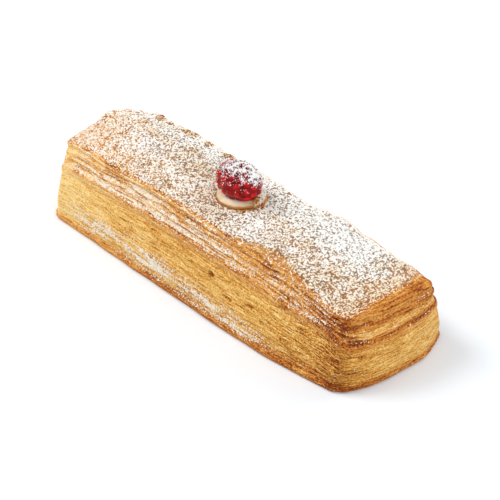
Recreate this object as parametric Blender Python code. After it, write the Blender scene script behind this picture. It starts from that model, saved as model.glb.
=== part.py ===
"""A puff-pastry fruit bar: a long block of baked layered dough, with a raspberry set in a spot of icing.

Metres, +Z up, the long side along X. The origin is on the table, under the middle of the bar. -Y is the
long side whose ledge drops towards +X, and +X the end where the block sags lowest.

The pastry is one solid. Its top is a grid, bent to the rim's height, and its wall is the grid's edge
extruded down row by row to the table. A row is the edge or the underside of a flake, so the terraces
above the ledge, the ledge itself and the crisp rim of the base are all relief in the one solid.
"""

import math
import random
from collections import namedtuple

import bmesh
import bpy
from mathutils import Vector, noise

# ---- Plan of the block, in metres, before it is centred on the origin ----
# Each edge is a curve through (share, position): the share runs from -1 to 1 along that edge.
Outline = namedtuple("Outline", "front back left right")
RIM = Outline(
    front=((-1, -0.0187), (1, -0.0187)),
    back=((-1, 0.0195), (-0.6, 0.0201), (1, 0.0197)),
    left=((-1, -0.0768), (-0.7, -0.0792), (0.0, -0.0816), (0.4, -0.0832), (0.75, -0.0814), (1, -0.0784)),
    right=((-1, 0.0756), (0.0, 0.0797), (1, 0.0800)),
)
BASE = Outline(
    front=((-1, -0.0256), (-0.75, -0.0264), (0.0, -0.0285), (0.6, -0.0292), (1, -0.0262)),
    back=((-1, 0.0255), (-0.5, 0.0276), (0.3, 0.0289), (1, 0.0266)),
    left=((-1, -0.0780), (-0.4, -0.0832), (0.4, -0.0846), (1, -0.0785)),
    right=((-1, 0.0774), (-0.6, 0.0822), (0.0, 0.0842), (0.5, 0.0842), (1, 0.0790)),
)
RIM_CORNER = 0.0022  # plan radius of the corners
BASE_CORNER = 0.0034

# ---- Heights above the table, as (x, z) along the bar ----
FRONT_RIM = (
    (-0.079, 0.0310),
    (-0.068, 0.0333),
    (-0.050, 0.0326),
    (-0.016, 0.0332),
    (0.010, 0.0318),
    (0.036, 0.0303),
    (0.046, 0.0314),
    (0.058, 0.0282),
    (0.067, 0.0263),
    (0.078, 0.0280),
)
BACK_RIM = (
    (-0.079, 0.0304),
    (-0.066, 0.0328),
    (-0.051, 0.0338),
    (-0.030, 0.0328),
    (0.000, 0.0320),
    (0.021, 0.0307),
    (0.035, 0.0324),
    (0.047, 0.0300),
    (0.066, 0.0284),
    (0.079, 0.0262),
)
SEAM = (  # edge of the ledge
    (-0.080, 0.0202),
    (-0.066, 0.0243),
    (0.032, 0.0244),
    (0.050, 0.0220),
    (0.066, 0.0208),
    (0.080, 0.0158),
)
CROWN = 0.0004  # the middle of the top above its rim
PUFF = 0.0015  # a blister that lifts the rim of the -X end
PUFF_AT = (-0.0840, 0.0085)
PUFF_RADIUS = 0.0085

# ---- The raspberry, which lies along the bar, and the icing that holds it ----
DOLLOP_X, DOLLOP_Y = -0.0002, 0.0022  # middle of the icing
ICING_RADIUS = 0.0091
ICING_HEIGHT = 0.0024  # its crown, if the berry weren't sunk in it
ICING_FOOT = 0.0007  # height of its upright edge
ICING_FLOOR = 0.0006  # icing left under the berry
ICING_ROUNDNESS = 2.6  # 2 would be an ellipse in section, and more is fuller
BERRY_HALF = (0.0101, 0.0075, 0.0079)  # half the length, width and height, over the drupelets
BERRY_SHIFT = (-0.0003, -0.0006)  # its middle from the icing's
BERRY_MIDDLE = 0.0073  # its middle above the pastry
DRUPELET_RADIUS = 0.0015
DRUPELET_ROUNDS = 8  # rounds of drupelets from one end to the other
DRUPELET_SPACING = 0.0028
DRUPELET_SCATTER = 0.00022  # how far one strays from its place in the round
CORE_INSET = 0.0007  # the flesh between the drupelets lies this far under their tops
GAP = 0.0003  # between touching pieces
RANDOM_SEED = 11

# ---- Relief of the baked dough ----
BUMP = 0.00040  # half height of the blisters on top
BUMP_SPACING = 0.0085
WAVE = 0.00045  # half height of the long waves on top
WAVE_SPACING = 0.0260
EDGE = 0.00045  # half height of the crags along the rim
EDGE_SPACING = 0.0068
FLAT_SPOT = (0.0105, 0.0180)  # round the icing the top is level inside the first radius, free past the second
FLAKE_SPACING = 0.0120  # along the wall, between the tips of one ragged flake
LEVEL_WOBBLE = 0.00045  # how far a layer line strays up and down
WOBBLE_SPACING = 0.0200
BELLY = 0.0008  # the lower wall swells between the ledge and the base

# ---- Mesh density ----
GRID_X, GRID_Y = 50, 16
CROWDING = 0.7  # 0 spaces the grid evenly, 1 crowds it most at the corners
ICING_STEPS = 32
CORE_STEPS, CORE_RINGS = 24, 14

# One row of wall vertices. share is the way down: from the rim to the seam in the upper wall, and from the
# seam to the table in the lower one. spread is the plan: 0 as at the rim, 1 as at the base. lip stands out
# from that, and ragged is how much the lip comes and goes. flake numbers the flake whose noise it follows.
Row = namedtuple("Row", "upper share spread lip ragged flake")
ROWS = (
    Row(True, 0.05, 0.02, 0.00035, 0.00040, 1),  # edge of the top crust
    Row(True, 0.15, 0.04, 0.00010, 0.00040, 1),
    Row(True, 0.22, 0.05, -0.00070, 0.00030, 1),  # recess under it
    Row(True, 0.36, 0.16, 0.00050, 0.00090, 2),  # first flake
    Row(True, 0.47, 0.17, -0.00050, 0.00060, 2),
    Row(True, 0.63, 0.31, 0.00040, 0.00100, 3),  # second flake
    Row(True, 0.72, 0.32, -0.00050, 0.00060, 3),
    Row(True, 0.93, 0.46, 0.00020, 0.00040, 4),  # top of the ledge
    Row(False, 0.00, 0.50, 0.00090, 0.00060, 4),  # edge of the ledge
    Row(False, 0.06, 0.51, 0.00050, 0.00050, 4),
    Row(False, 0.11, 0.52, -0.00050, 0.00020, 4),  # groove under it
    Row(False, 0.25, 0.59, 0.00010, 0.00035, 5),
    Row(False, 0.40, 0.68, -0.00010, 0.00040, 6),
    Row(False, 0.56, 0.77, 0.00015, 0.00040, 7),
    Row(False, 0.72, 0.86, -0.00005, 0.00035, 8),
    Row(False, 0.88, 0.94, -0.00020, 0.00025, 9),
    Row(False, 0.94, 0.99, 0.00050, 0.00040, 10),  # crisp rim of the base
    Row(False, 1.00, 0.98, 0.00010, 0.00030, 10),
)

# sRGB colours, as seen in daylight, with a roughness
CRUST_COLOUR, CRUST_ROUGHNESS = (0.86, 0.62, 0.33), 0.75
ICING_COLOUR, ICING_ROUGHNESS = (0.95, 0.90, 0.79), 0.45
BERRY_COLOUR, BERRY_ROUGHNESS = (0.70, 0.05, 0.09), 0.35


def mix(a, b, share):
    return a + (b - a) * share


def ease(share):
    """0 to 1 with level ends, for a share clamped to 0 to 1."""
    share = min(max(share, 0.0), 1.0)
    return share * share * (3 - 2 * share)


def along(curve, at):
    """Height of a curve of points at a position: a Catmull-Rom spline, level past its ends."""
    if at <= curve[0][0]:
        return curve[0][1]
    if at >= curve[-1][0]:
        return curve[-1][1]
    i = max(k for k in range(len(curve) - 1) if curve[k][0] <= at)
    (x0, z0), (x1, z1) = curve[i], curve[i + 1]
    before = curve[max(i - 1, 0)]
    after = curve[min(i + 2, len(curve) - 1)]
    span = x1 - x0
    t = (at - x0) / span
    slope0 = (z1 - before[1]) / (x1 - before[0]) * span
    slope1 = (after[1] - z0) / (after[0] - x0) * span
    return (
        (2 * t**3 - 3 * t**2 + 1) * z0
        + (t**3 - 2 * t**2 + t) * slope0
        + (3 * t**2 - 2 * t**3) * z1
        + (t**3 - t**2) * slope1
    )


def waves(x, y, pattern, spacing):
    """Smooth noise from about -1 to 1, with features spacing apart."""
    return noise.noise(Vector((x / spacing, y / spacing, pattern)))


def crowded(share):
    """A grid coordinate from -1 to 1, moved so that cells are smaller near the ends."""
    return mix(share, math.sin(share * math.pi / 2), CROWDING)


def plan(u, v, spread):
    """Where grid point (u, v) lies in plan, and the outward direction there, for a level with this spread."""
    front, back, left, right = (
        mix(along(rim, at), along(base, at), spread)
        for rim, base, at in zip(RIM, BASE, (u, u, v, v))
    )
    x = mix(left, right, (u + 1) / 2)
    y = mix(front, back, (v + 1) / 2)
    radius = mix(RIM_CORNER, BASE_CORNER, spread)
    over_x = max(abs(u) * (right - left) / 2 - ((right - left) / 2 - radius), 0.0)
    over_y = max(abs(v) * (back - front) / 2 - ((back - front) / 2 - radius), 0.0)
    out = Vector((math.copysign(over_x, u), math.copysign(over_y, v)))
    if over_x and over_y:  # squares inside the corner become arcs
        turn = max(over_x, over_y) / math.hypot(over_x, over_y)
        x -= math.copysign(over_x * (1 - turn), u)
        y -= math.copysign(over_y * (1 - turn), v)
    return x, y, out.normalized() if out.length else out


def rim_height(x, y, v):
    puff = PUFF * math.exp(-((x - PUFF_AT[0]) ** 2 + (y - PUFF_AT[1]) ** 2) / PUFF_RADIUS**2)
    return mix(along(FRONT_RIM, x), along(BACK_RIM, x), (v + 1) / 2) + puff


SPOT_HEIGHT = rim_height(DOLLOP_X, DOLLOP_Y, DOLLOP_Y / RIM.back[0][1]) + CROWN


def top_point(u, v):
    """A point of the pastry's top: crowned, waved and blistered, and level round the icing."""
    x, y, _ = plan(u, v, 0.0)
    inside = ease((1 - max(abs(u), abs(v))) * 6)
    crown = CROWN * (1 - v * v) * (1 - u**8)
    relief = WAVE * waves(x, y, 3.7, WAVE_SPACING) + BUMP * waves(x, y, 8.1, BUMP_SPACING)
    crags = EDGE * waves(x, y, 30.1, EDGE_SPACING) * (1 - inside)
    z = rim_height(x, y, v) + crown + crags + relief * mix(0.4, 1.0, inside)
    away = math.hypot(x - DOLLOP_X, y - DOLLOP_Y)
    free = ease((away - FLAT_SPOT[0]) / (FLAT_SPOT[1] - FLAT_SPOT[0]))
    return Vector((x, y, mix(SPOT_HEIGHT, z, free)))


def wall_point(u, v, row):
    """A point of one row of the wall, below grid edge point (u, v)."""
    x, y, out = plan(u, v, row.spread)
    rim = top_point(u, v).z
    seam = along(SEAM, x)
    z = mix(rim, seam, row.share) if row.upper else mix(seam, 0.0, row.share)
    if row.share < 1:
        z += LEVEL_WOBBLE * waves(x, y, 20.0 + row.flake, WOBBLE_SPACING) * min(1, z / 0.004)
    reach = row.lip + row.ragged * waves(x, y, 50.3 * row.flake, FLAKE_SPACING)
    if not row.upper:
        reach += BELLY * math.sin(math.pi * row.share)
    return Vector((x + out.x * reach, y + out.y * reach, z))


def material(name, colour, roughness):
    """A Principled material from an sRGB colour."""
    made = bpy.data.materials.new(name)
    made.use_nodes = True
    shader = made.node_tree.nodes["Principled BSDF"]
    linear = [((c + 0.055) / 1.055) ** 2.4 if c > 0.04045 else c / 12.92 for c in colour]
    shader.inputs["Base Color"].default_value = (*linear, 1)
    shader.inputs["Roughness"].default_value = roughness
    shader.inputs["Metallic"].default_value = 0.0
    return made


def mesh_from(bm, name):
    """A mesh from a bmesh, which is freed."""
    bmesh.ops.recalc_face_normals(bm, faces=bm.faces)
    mesh = bpy.data.meshes.new(name)
    bm.to_mesh(mesh)
    bm.free()
    return mesh


def add_object(mesh, collection, look=None):
    made = bpy.data.objects.new(mesh.name, mesh)
    collection.objects.link(made)
    if look:
        mesh.materials.append(look)
    return made


def turned(name, profile, steps):
    """A closed mesh turned about Z from (radius, height) points that start and end on the axis."""
    bm = bmesh.new()
    chain = [bm.verts.new((radius, 0, height)) for radius, height in profile]
    edges = [bm.edges.new(pair) for pair in zip(chain, chain[1:])]
    bmesh.ops.spin(
        bm,
        geom=chain + edges,
        axis=(0, 0, 1),
        cent=(0, 0, 0),
        steps=steps,
        angle=2 * math.pi,
        use_merge=True,
    )
    bmesh.ops.remove_doubles(bm, verts=bm.verts, dist=0.00001)
    return mesh_from(bm, name)


def make_pastry(collection):
    """The baked block: a bent grid for the top, and its edge extruded down row by row."""
    bm = bmesh.new()
    share_u = bm.verts.layers.float.new("u")
    share_v = bm.verts.layers.float.new("v")
    bmesh.ops.create_grid(bm, x_segments=GRID_X, y_segments=GRID_Y, size=1)
    for vert in bm.verts:
        vert[share_u], vert[share_v] = crowded(vert.co.x), crowded(vert.co.y)
        vert.co = top_point(vert[share_u], vert[share_v])
    edge = [e for e in bm.edges if e.is_boundary]
    for row in ROWS:
        grown = bmesh.ops.extrude_edge_only(bm, edges=edge)["geom"]
        edge = [g for g in grown if isinstance(g, bmesh.types.BMEdge) and g.is_boundary]
        for vert in (g for g in grown if isinstance(g, bmesh.types.BMVert)):
            vert.co = wall_point(vert[share_u], vert[share_v], row)
    bmesh.ops.contextual_create(bm, geom=edge)
    mesh = mesh_from(bm, "pastry")
    mesh.shade_smooth()
    mesh.set_sharp_from_angle(angle=math.radians(50))
    return add_object(mesh, collection, material("crust", CRUST_COLOUR, CRUST_ROUGHNESS))


BERRY_FOOT = ICING_FLOOR + 2 * GAP - BERRY_MIDDLE  # flat underside of the berry, from its middle


def icing_dome(radius):
    """Height of the icing's surface at a distance from its middle."""
    share = max(1 - (radius / ICING_RADIUS) ** ICING_ROUNDNESS, 0.0) ** (1 / ICING_ROUNDNESS)
    return mix(ICING_FOOT, ICING_HEIGHT, share)


def icing_dish(x, y):
    """Height of the hollow that the berry lies in, clear of its drupelets, or None outside the hollow."""
    room = GAP + DRUPELET_SCATTER
    across = sum(
        ((at - shift) / (half + room)) ** 2 for at, shift, half in zip((x, y), BERRY_SHIFT, BERRY_HALF)
    )
    if across >= 1:
        return None
    low = BERRY_MIDDLE - GAP - (BERRY_HALF[2] + room) * math.sqrt(1 - across)
    return max(low, ICING_FLOOR)


def icing_brim(angle):
    """Distance from the icing's middle to the brim of the hollow, in a direction."""
    inner, outer = 0.0, ICING_RADIUS
    for _ in range(30):
        radius = (inner + outer) / 2
        height = icing_dish(radius * math.cos(angle), radius * math.sin(angle))
        if height is not None and height < icing_dome(radius):
            inner = radius
        else:
            outer = radius
    return inner


def make_icing(collection):
    """The spot of icing: a turned disc, raised to its dome outside the brim and sunk to the hollow inside."""
    inner = (0.0, 0.45, 0.68, 0.80, 0.90, 1.0)  # shares of the way to the brim
    outer = (0.25, 0.50, 0.72, 0.88, 0.97, 1.0)  # and on to the edge
    profile = [(share, 0.0) for share in inner] + [(1 + share, 0.0) for share in outer]
    profile += [(1.98, -1.0), (0.0, -1.0)]
    mesh = turned("icing", profile, ICING_STEPS)
    for vert in mesh.vertices:
        share, angle = vert.co.xy.length, math.atan2(vert.co.y, vert.co.x)
        brim = icing_brim(angle)
        radius = brim * share if share <= 1 else mix(brim, ICING_RADIUS, share - 1)
        x, y = radius * math.cos(angle), radius * math.sin(angle)
        if vert.co.z < -0.5:
            height = 0.0
        else:
            height = icing_dish(x, y) if share < 0.999 else icing_dome(radius)
        vert.co = (x, y, height)
    mesh.shade_smooth()
    mesh.set_sharp_from_angle(angle=math.radians(50))
    made = add_object(mesh, collection, material("icing", ICING_COLOUR, ICING_ROUGHNESS))
    made.location = (DOLLOP_X, DOLLOP_Y, SPOT_HEIGHT + GAP)
    return made


def drupelet_centres():
    """Rounds of centres from end to end of the berry, each turned half a step from the one before."""
    drawn = random.Random(RANDOM_SEED)
    length, width, height = (half - DRUPELET_RADIUS for half in BERRY_HALF)
    for k in range(DRUPELET_ROUNDS):
        angle = mix(-math.pi / 2, math.pi / 2, (k + 0.75) / (DRUPELET_ROUNDS + 0.5))
        count = round(math.pi * (width + height) * math.cos(angle) / DRUPELET_SPACING)
        for n in range(count):
            turn = 2 * math.pi * (n + k % 2 / 2) / count
            stray = Vector([drawn.uniform(-1, 1) * DRUPELET_SCATTER for _ in "xyz"])
            centre = Vector(
                (
                    length * math.sin(angle),
                    width * math.cos(angle) * math.sin(turn),
                    height * math.cos(angle) * math.cos(turn),
                )
            )
            if centre.z - DRUPELET_RADIUS - DRUPELET_SCATTER > BERRY_FOOT:
                yield centre + stray


def make_raspberry(collection):
    """The berry: the flesh of its core and its drupelets, joined by one Boolean union."""
    bm = bmesh.new()
    bmesh.ops.create_uvsphere(bm, u_segments=CORE_STEPS, v_segments=CORE_RINGS, radius=1)
    for vert in bm.verts:
        vert.co = Vector([at * (half - CORE_INSET) for at, half in zip(vert.co, BERRY_HALF)])
        vert.co.z = max(vert.co.z, BERRY_FOOT)
    bmesh.ops.dissolve_limit(bm, angle_limit=math.radians(0.5), verts=bm.verts, edges=bm.edges)
    berry = add_object(
        mesh_from(bm, "raspberry"), collection, material("berry", BERRY_COLOUR, BERRY_ROUGHNESS)
    )
    drupelets = bpy.data.collections.new("drupelets")
    bpy.context.scene.collection.children.link(drupelets)
    for k, centre in enumerate(drupelet_centres()):
        bm = bmesh.new()
        bmesh.ops.create_icosphere(bm, subdivisions=2, radius=DRUPELET_RADIUS)
        bead = add_object(mesh_from(bm, f"drupelet_{k}"), drupelets)
        bead.location = centre
        bead.rotation_euler = (k * 0.7, k * 1.3, 0)
    join = berry.modifiers.new("Join", "BOOLEAN")
    join.operation = "UNION"
    join.operand_type = "COLLECTION"
    join.collection = drupelets
    join.solver = "MANIFOLD"
    bpy.context.view_layer.update()
    joined = bpy.data.meshes.new_from_object(
        berry.evaluated_get(bpy.context.evaluated_depsgraph_get())
    )
    berry.modifiers.clear()
    berry.data = joined
    for bead in list(drupelets.objects):
        bpy.data.objects.remove(bead)
    bpy.data.collections.remove(drupelets)
    joined.shade_smooth()
    joined.set_sharp_from_angle(angle=math.radians(45))
    berry.location = (
        DOLLOP_X + BERRY_SHIFT[0],
        DOLLOP_Y + BERRY_SHIFT[1],
        SPOT_HEIGHT + BERRY_MIDDLE,
    )
    return berry


def main():
    for leftover in list(bpy.data.objects):
        bpy.data.objects.remove(leftover)
    bar = bpy.data.collections.new("fruit_bar")
    bpy.context.scene.collection.children.link(bar)
    pastry = make_pastry(bar)
    pieces = (pastry, make_icing(bar), make_raspberry(bar))
    across = [vert.co.to_2d() for vert in pastry.data.vertices]
    middle = [(max(c[k] for c in across) + min(c[k] for c in across)) / 2 for k in (0, 1)]
    for piece in pieces:
        piece.location -= Vector((*middle, 0.0))


main()
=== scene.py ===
"""The looks of the fruit pastry bar: its baked crust, the icing and raspberry, and the sugar over them.

Metres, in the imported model's frame: +X to the near end, -Y the long side that faces the camera. The outlines
and heights repeat the model's own driving dimensions, so the dressed meshes keep the solids' form.
"""

import math
import random
from collections import namedtuple

import bmesh
import bpy
import numpy as np
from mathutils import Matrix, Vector, noise


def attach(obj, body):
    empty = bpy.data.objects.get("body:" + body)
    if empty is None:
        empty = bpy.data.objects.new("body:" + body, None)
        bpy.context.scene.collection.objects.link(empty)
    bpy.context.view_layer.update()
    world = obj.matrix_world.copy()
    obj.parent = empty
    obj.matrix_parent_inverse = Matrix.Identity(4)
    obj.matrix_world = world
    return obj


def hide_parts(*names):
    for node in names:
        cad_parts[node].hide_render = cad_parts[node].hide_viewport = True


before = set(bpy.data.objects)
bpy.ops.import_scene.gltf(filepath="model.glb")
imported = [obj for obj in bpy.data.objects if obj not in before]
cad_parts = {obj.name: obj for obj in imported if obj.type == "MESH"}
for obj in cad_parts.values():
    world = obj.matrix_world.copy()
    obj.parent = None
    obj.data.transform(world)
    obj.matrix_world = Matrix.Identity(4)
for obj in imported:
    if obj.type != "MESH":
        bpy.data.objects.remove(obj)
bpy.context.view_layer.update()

# ---- Plan and heights, as in the solids ----
Outline = namedtuple("Outline", "front back left right")
RIM = Outline(
    front=((-1, -0.0187), (1, -0.0187)),
    back=((-1, 0.0195), (-0.6, 0.0201), (1, 0.0197)),
    left=((-1, -0.0768), (-0.7, -0.0792), (0, -0.0816), (0.4, -0.0832), (0.75, -0.0814), (1, -0.0784)),
    right=((-1, 0.0756), (0, 0.0797), (1, 0.08)),
)
BASE = Outline(
    front=((-1, -0.0256), (-0.75, -0.0264), (0, -0.0285), (0.6, -0.0292), (1, -0.0262)),
    back=((-1, 0.0255), (-0.5, 0.0276), (0.3, 0.0289), (1, 0.0266)),
    left=((-1, -0.078), (-0.4, -0.0832), (0.4, -0.0846), (1, -0.0785)),
    right=((-1, 0.0774), (-0.6, 0.0822), (0, 0.0842), (0.5, 0.0842), (1, 0.079)),
)
CENTRING = (0.00011, 0.00016, 0)  # puts the block's middle on the origin
RIM_CORNER = 0.0022
BASE_CORNER = 0.0034
FRONT_RIM = (
    (-0.079, 0.031), (-0.068, 0.0333), (-0.05, 0.0326), (-0.016, 0.0332), (0.01, 0.0318),
    (0.036, 0.0303), (0.046, 0.0314), (0.058, 0.0282), (0.067, 0.0263), (0.078, 0.028),
)
BACK_RIM = (
    (-0.079, 0.0304), (-0.066, 0.0328), (-0.051, 0.0338), (-0.03, 0.0328), (0, 0.032),
    (0.021, 0.0307), (0.035, 0.0324), (0.047, 0.03), (0.066, 0.0284), (0.079, 0.0262),
)
SEAM = ((-0.08, 0.0202), (-0.066, 0.0243), (0.032, 0.0244), (0.05, 0.022), (0.066, 0.0208), (0.08, 0.0158))
CROWN = 0.0004
PUFF = 0.0015
PUFF_AT = (-0.084, 0.0085)
PUFF_RADIUS = 0.0085
BUMP, BUMP_SPACING = 0.0004, 0.0085
WAVE, WAVE_SPACING = 0.00045, 0.026
EDGE, EDGE_SPACING = 0.00045, 0.0068
FLAT_SPOT = (0.0105, 0.018)
FLAKE_SPACING = 0.012
LEVEL_WOBBLE, WOBBLE_SPACING = 0.00045, 0.02
BELLY = 0.0008

Row = namedtuple("Row", "upper share spread lip ragged flake")
SEAM_FLAKE = 4  # the flake whose rows lie at the seam
UPPER_ROWS = (
    (0.05, 0.02, 0.00035, 0.0004, 1), (0.15, 0.04, 0.0001, 0.0004, 1), (0.22, 0.05, -0.0007, 0.0003, 1),
    (0.36, 0.16, 0.0005, 0.0009, 2), (0.47, 0.17, -0.0005, 0.0006, 2), (0.63, 0.31, 0.0004, 0.001, 3),
    (0.72, 0.32, -0.0005, 0.0006, 3), (0.93, 0.46, 0.0002, 0.0004, 4),
)
LOWER_ROWS = (
    (0, 0.5, 0.0009, 0.0006, 4), (0.06, 0.51, 0.0005, 0.0005, 4), (0.11, 0.52, -0.0005, 0.0002, 4),
    (0.25, 0.59, 0.0001, 0.00035, 5), (0.4, 0.68, -0.0001, 0.0004, 6), (0.56, 0.77, 0.00015, 0.0004, 7),
    (0.72, 0.86, -0.00005, 0.00035, 8), (0.88, 0.94, -0.0002, 0.00025, 9), (0.94, 0.99, 0.0005, 0.0004, 10),
    (1, 0.98, 0.0001, 0.0003, 10),
)
ROWS = [Row(True, *row) for row in UPPER_ROWS] + [Row(False, *row) for row in LOWER_ROWS]

DOLLOP_X, DOLLOP_Y = -0.0002, 0.0022
ICING_RADIUS = 0.0091
ICING_HEIGHT = 0.0024
ICING_FOOT = 0.0007
ICING_FLOOR = 0.0006
ICING_ROUNDNESS = 2.6
BERRY_HALF = (0.0101, 0.0075, 0.0079)
BERRY_SHIFT = (-0.0003, -0.0006)
BERRY_MIDDLE = 0.0073
DRUPELET_RADIUS = 0.0015
DRUPELET_ROUNDS = 8
DRUPELET_SPACING = 0.0028
DRUPELET_SCATTER = 0.00022
GAP = 0.0003
BERRY_SEED = 11
BERRY_FOOT = ICING_FLOOR + 2 * GAP - BERRY_MIDDLE

# ---- Mesh density of the dressed pieces ----
GRID_X, GRID_Y = 260, 60
CROWDING = 0.35
UPPER_STEP = 0.00016  # between wall levels above the seam
LOWER_STEP = 0.00027  # and below it
SUGAR_X, SUGAR_Y = 620, 150

# ---- Fine relief of the crust. Layer heights are measured as if the block were even all along. ----
TOP_LONG, TOP_WIDE = 0.078, 0.019  # half length and half width of the top
EVEN_SEAM = 0.024
EVEN_RIM = 0.033
LEAF_PITCH = 0.00085  # thickness of one leaf of dough above the seam
LEAF_REACH = 0.0002  # how far the boldest leaf stands out or back
LEAF_CRACK = 0.00034  # depth of the gap between two leaves
PLY_PITCH = 0.00092  # the same below the seam, where the leaves are baked together
PLY_REACH = 0.0001
PLY_CRACK = 0.00016
GAP_CLOSING = 0.8  # share of the solid's ledges above the seam that is lost where leaves lie close
TORN_REACH = 0.00065  # how far the flakes torn at the near corner come and go
FRILL = 0.0003  # how far the crisp edge of the top comes and goes
FRILL_WIDTH = 0.0012  # width of the edge that does
NEAR_CORNER = (0.064, 0.072)  # the torn flakes of the near corner set in between these places
SHARP_ANGLE = math.radians(70)  # creases of the crust sharper than this stay sharp
TERRACE = 0.002  # width of the strip along the top's edges where its leaves end one after another
TERRACE_AT_END = 0.0058  # the same at the near end
TERRACE_DROP = 0.00045
TERRACE_LEAVES = 4

LAP = 0.0004  # how far the crust's two pieces are tucked in where they meet
SPINE_HALF = 0.06  # the pieces close on a line of points within the bar
SPINE_POINTS = 25
SPINE_DEPTH = 0.003

# ---- The powdered sugar on the top ----
SUGAR_LUMP = 0.00039  # grid of the noise that heaps it
SUGAR_HEAP = 0.0009  # rise of a heap from its foot to its middle, before it is cut off level
SUGAR_THICK = 0.0002
SUGAR_LONG, SUGAR_WIDE = 0.997, 0.992  # shares of the top's length and width that the sheet covers
SUGAR_SINK = 0.00012  # how far the sheet of sugar runs under the crust where none shows


# ---------------------------------------------------------------- numbers
def mix(a, b, share):
    return a + (b - a) * share


def ease(share):
    """0 to 1 with level ends, for a share clamped to 0 to 1."""
    share = np.clip(share, 0, 1)
    return share * share * (3 - 2 * share)


def rise(value, low, high):
    """0 below low, 1 above high, eased between."""
    return ease((value - low) / (high - low))


def shift(a, b, value, low, high):
    """From a to b as a value goes from low to high."""
    return mix(a, b, rise(value, low, high))


def spline(a, b, slope0, slope1, t):
    """A share t of the way from a to b on a curve with these slopes at its ends."""
    start = (2 * t**3 - 3 * t**2 + 1) * a + (t**3 - 2 * t**2 + t) * slope0
    return start + (3 * t**2 - 2 * t**3) * b + (t**3 - t**2) * slope1


def along(curve, at):
    """Height of a curve of points at positions: a Catmull-Rom spline, level past its ends."""
    x, z = np.array(curve, float).T
    at = np.clip(at, x[0], x[-1])
    i = np.clip(np.searchsorted(x, at, side="right") - 1, 0, len(x) - 2)
    before, after = np.maximum(i - 1, 0), np.minimum(i + 2, len(x) - 1)
    span = x[i + 1] - x[i]
    slope0 = (z[i + 1] - z[before]) / (x[i + 1] - x[before]) * span
    slope1 = (z[after] - z[i]) / (x[after] - x[i]) * span
    return spline(z[i], z[i + 1], slope0, slope1, (at - x[i]) / span)


def through(rows, k, t):
    """A point a share t of the way from rows[k] to rows[k + 1], on a soft curve through the rows."""
    a, b = rows[k], rows[k + 1]
    before, after = rows[max(k - 1, 0)], rows[min(k + 2, len(rows) - 1)]
    return mix(mix(a, b, t), spline(a, b, (b - before) / 2, (after - a) / 2, t), 0.6)


def waves(x, y, pattern, spacing):
    """The solids' own smooth noise, about -1 to 1, with features spacing apart."""
    flat = [noise.noise(Vector((a / spacing, b / spacing, pattern))) for a, b in zip(x.flat, y.flat)]
    return np.array(flat).reshape(x.shape)


def lattice(ix, iy, iz, seed):
    """A number from -1 to 1 for each point of a whole-number grid."""
    h = (ix * 374761393 + iy * 668265263 + iz * 1440662683 + seed * 1274126177) & 0xFFFFFFFF
    h = ((h ^ (h >> 13)) * 1103515245) & 0xFFFFFFFF
    h = ((h ^ (h >> 16)) * 2654435761) & 0xFFFFFFFF
    return ((h >> 8) & 0xFFFF) / 32767.5 - 1


def blobs(x, y, z, seed):
    """Smooth noise from -1 to 1, with one feature to a unit."""
    x, y, z = np.broadcast_arrays(x, y, z)
    ix, iy, iz = (np.floor(c).astype(np.int64) for c in (x, y, z))
    fx, fy, fz = (ease(c - i) for c, i in ((x, ix), (y, iy), (z, iz)))
    total = 0
    for dx, wx in ((0, 1 - fx), (1, fx)):
        for dy, wy in ((0, 1 - fy), (1, fy)):
            for dz, wz in ((0, 1 - fz), (1, fz)):
                total += wx * wy * wz * lattice(ix + dx, iy + dy, iz + dz, seed)
    return total


def spots(x, y, size, seed, layer=0.5):
    """Smooth noise in plan, with features of this size."""
    return blobs(x / size, y / size, layer, seed)


def flecks(x, y, level, wide, tall, seed):
    """Smooth noise on a wall, with features this wide and tall."""
    return blobs(x / wide, y / wide, level / tall, seed)


def rank(values):
    """Each value's place among all of them, from 0 for the least to 1 for the greatest."""
    order = np.empty(values.size)
    order[np.argsort(values, axis=None)] = np.linspace(0, 1, values.size)
    return order.reshape(values.shape)


# ---------------------------------------------------------------- the block's form
def plan(u, v, spread):
    """Where points (u, v) lie in plan, and the outward direction there, for levels with this spread."""
    front, back, left, right = (
        mix(along(rim, at), along(base, at), spread) for rim, base, at in zip(RIM, BASE, (u, u, v, v))
    )
    x = mix(left, right, (u + 1) / 2)
    y = mix(front, back, (v + 1) / 2)
    radius = mix(RIM_CORNER, BASE_CORNER, spread)
    over_x = np.maximum((np.abs(u) - 1) * (right - left) / 2 + radius, 0)
    over_y = np.maximum((np.abs(v) - 1) * (back - front) / 2 + radius, 0)
    reach = np.maximum(np.hypot(over_x, over_y), 1e-9)
    turn = np.where((over_x > 0) & (over_y > 0), 1 - np.maximum(over_x, over_y) / reach, 0)
    x -= np.sign(u) * over_x * turn
    y -= np.sign(v) * over_y * turn
    return x, y, np.sign(u) * over_x / reach, np.sign(v) * over_y / reach


def rim_height(x, y, v):
    puff = PUFF * np.exp(-((x - PUFF_AT[0]) ** 2 + (y - PUFF_AT[1]) ** 2) / PUFF_RADIUS**2)
    return mix(along(FRONT_RIM, x), along(BACK_RIM, x), (v + 1) / 2) + puff


SPOT_HEIGHT = float(rim_height(DOLLOP_X, DOLLOP_Y, DOLLOP_Y / RIM.back[0][1])) + CROWN


def from_dollop(x, y):
    """Distance in plan from the middle of the icing."""
    return np.hypot(x - DOLLOP_X, y - DOLLOP_Y)


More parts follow.
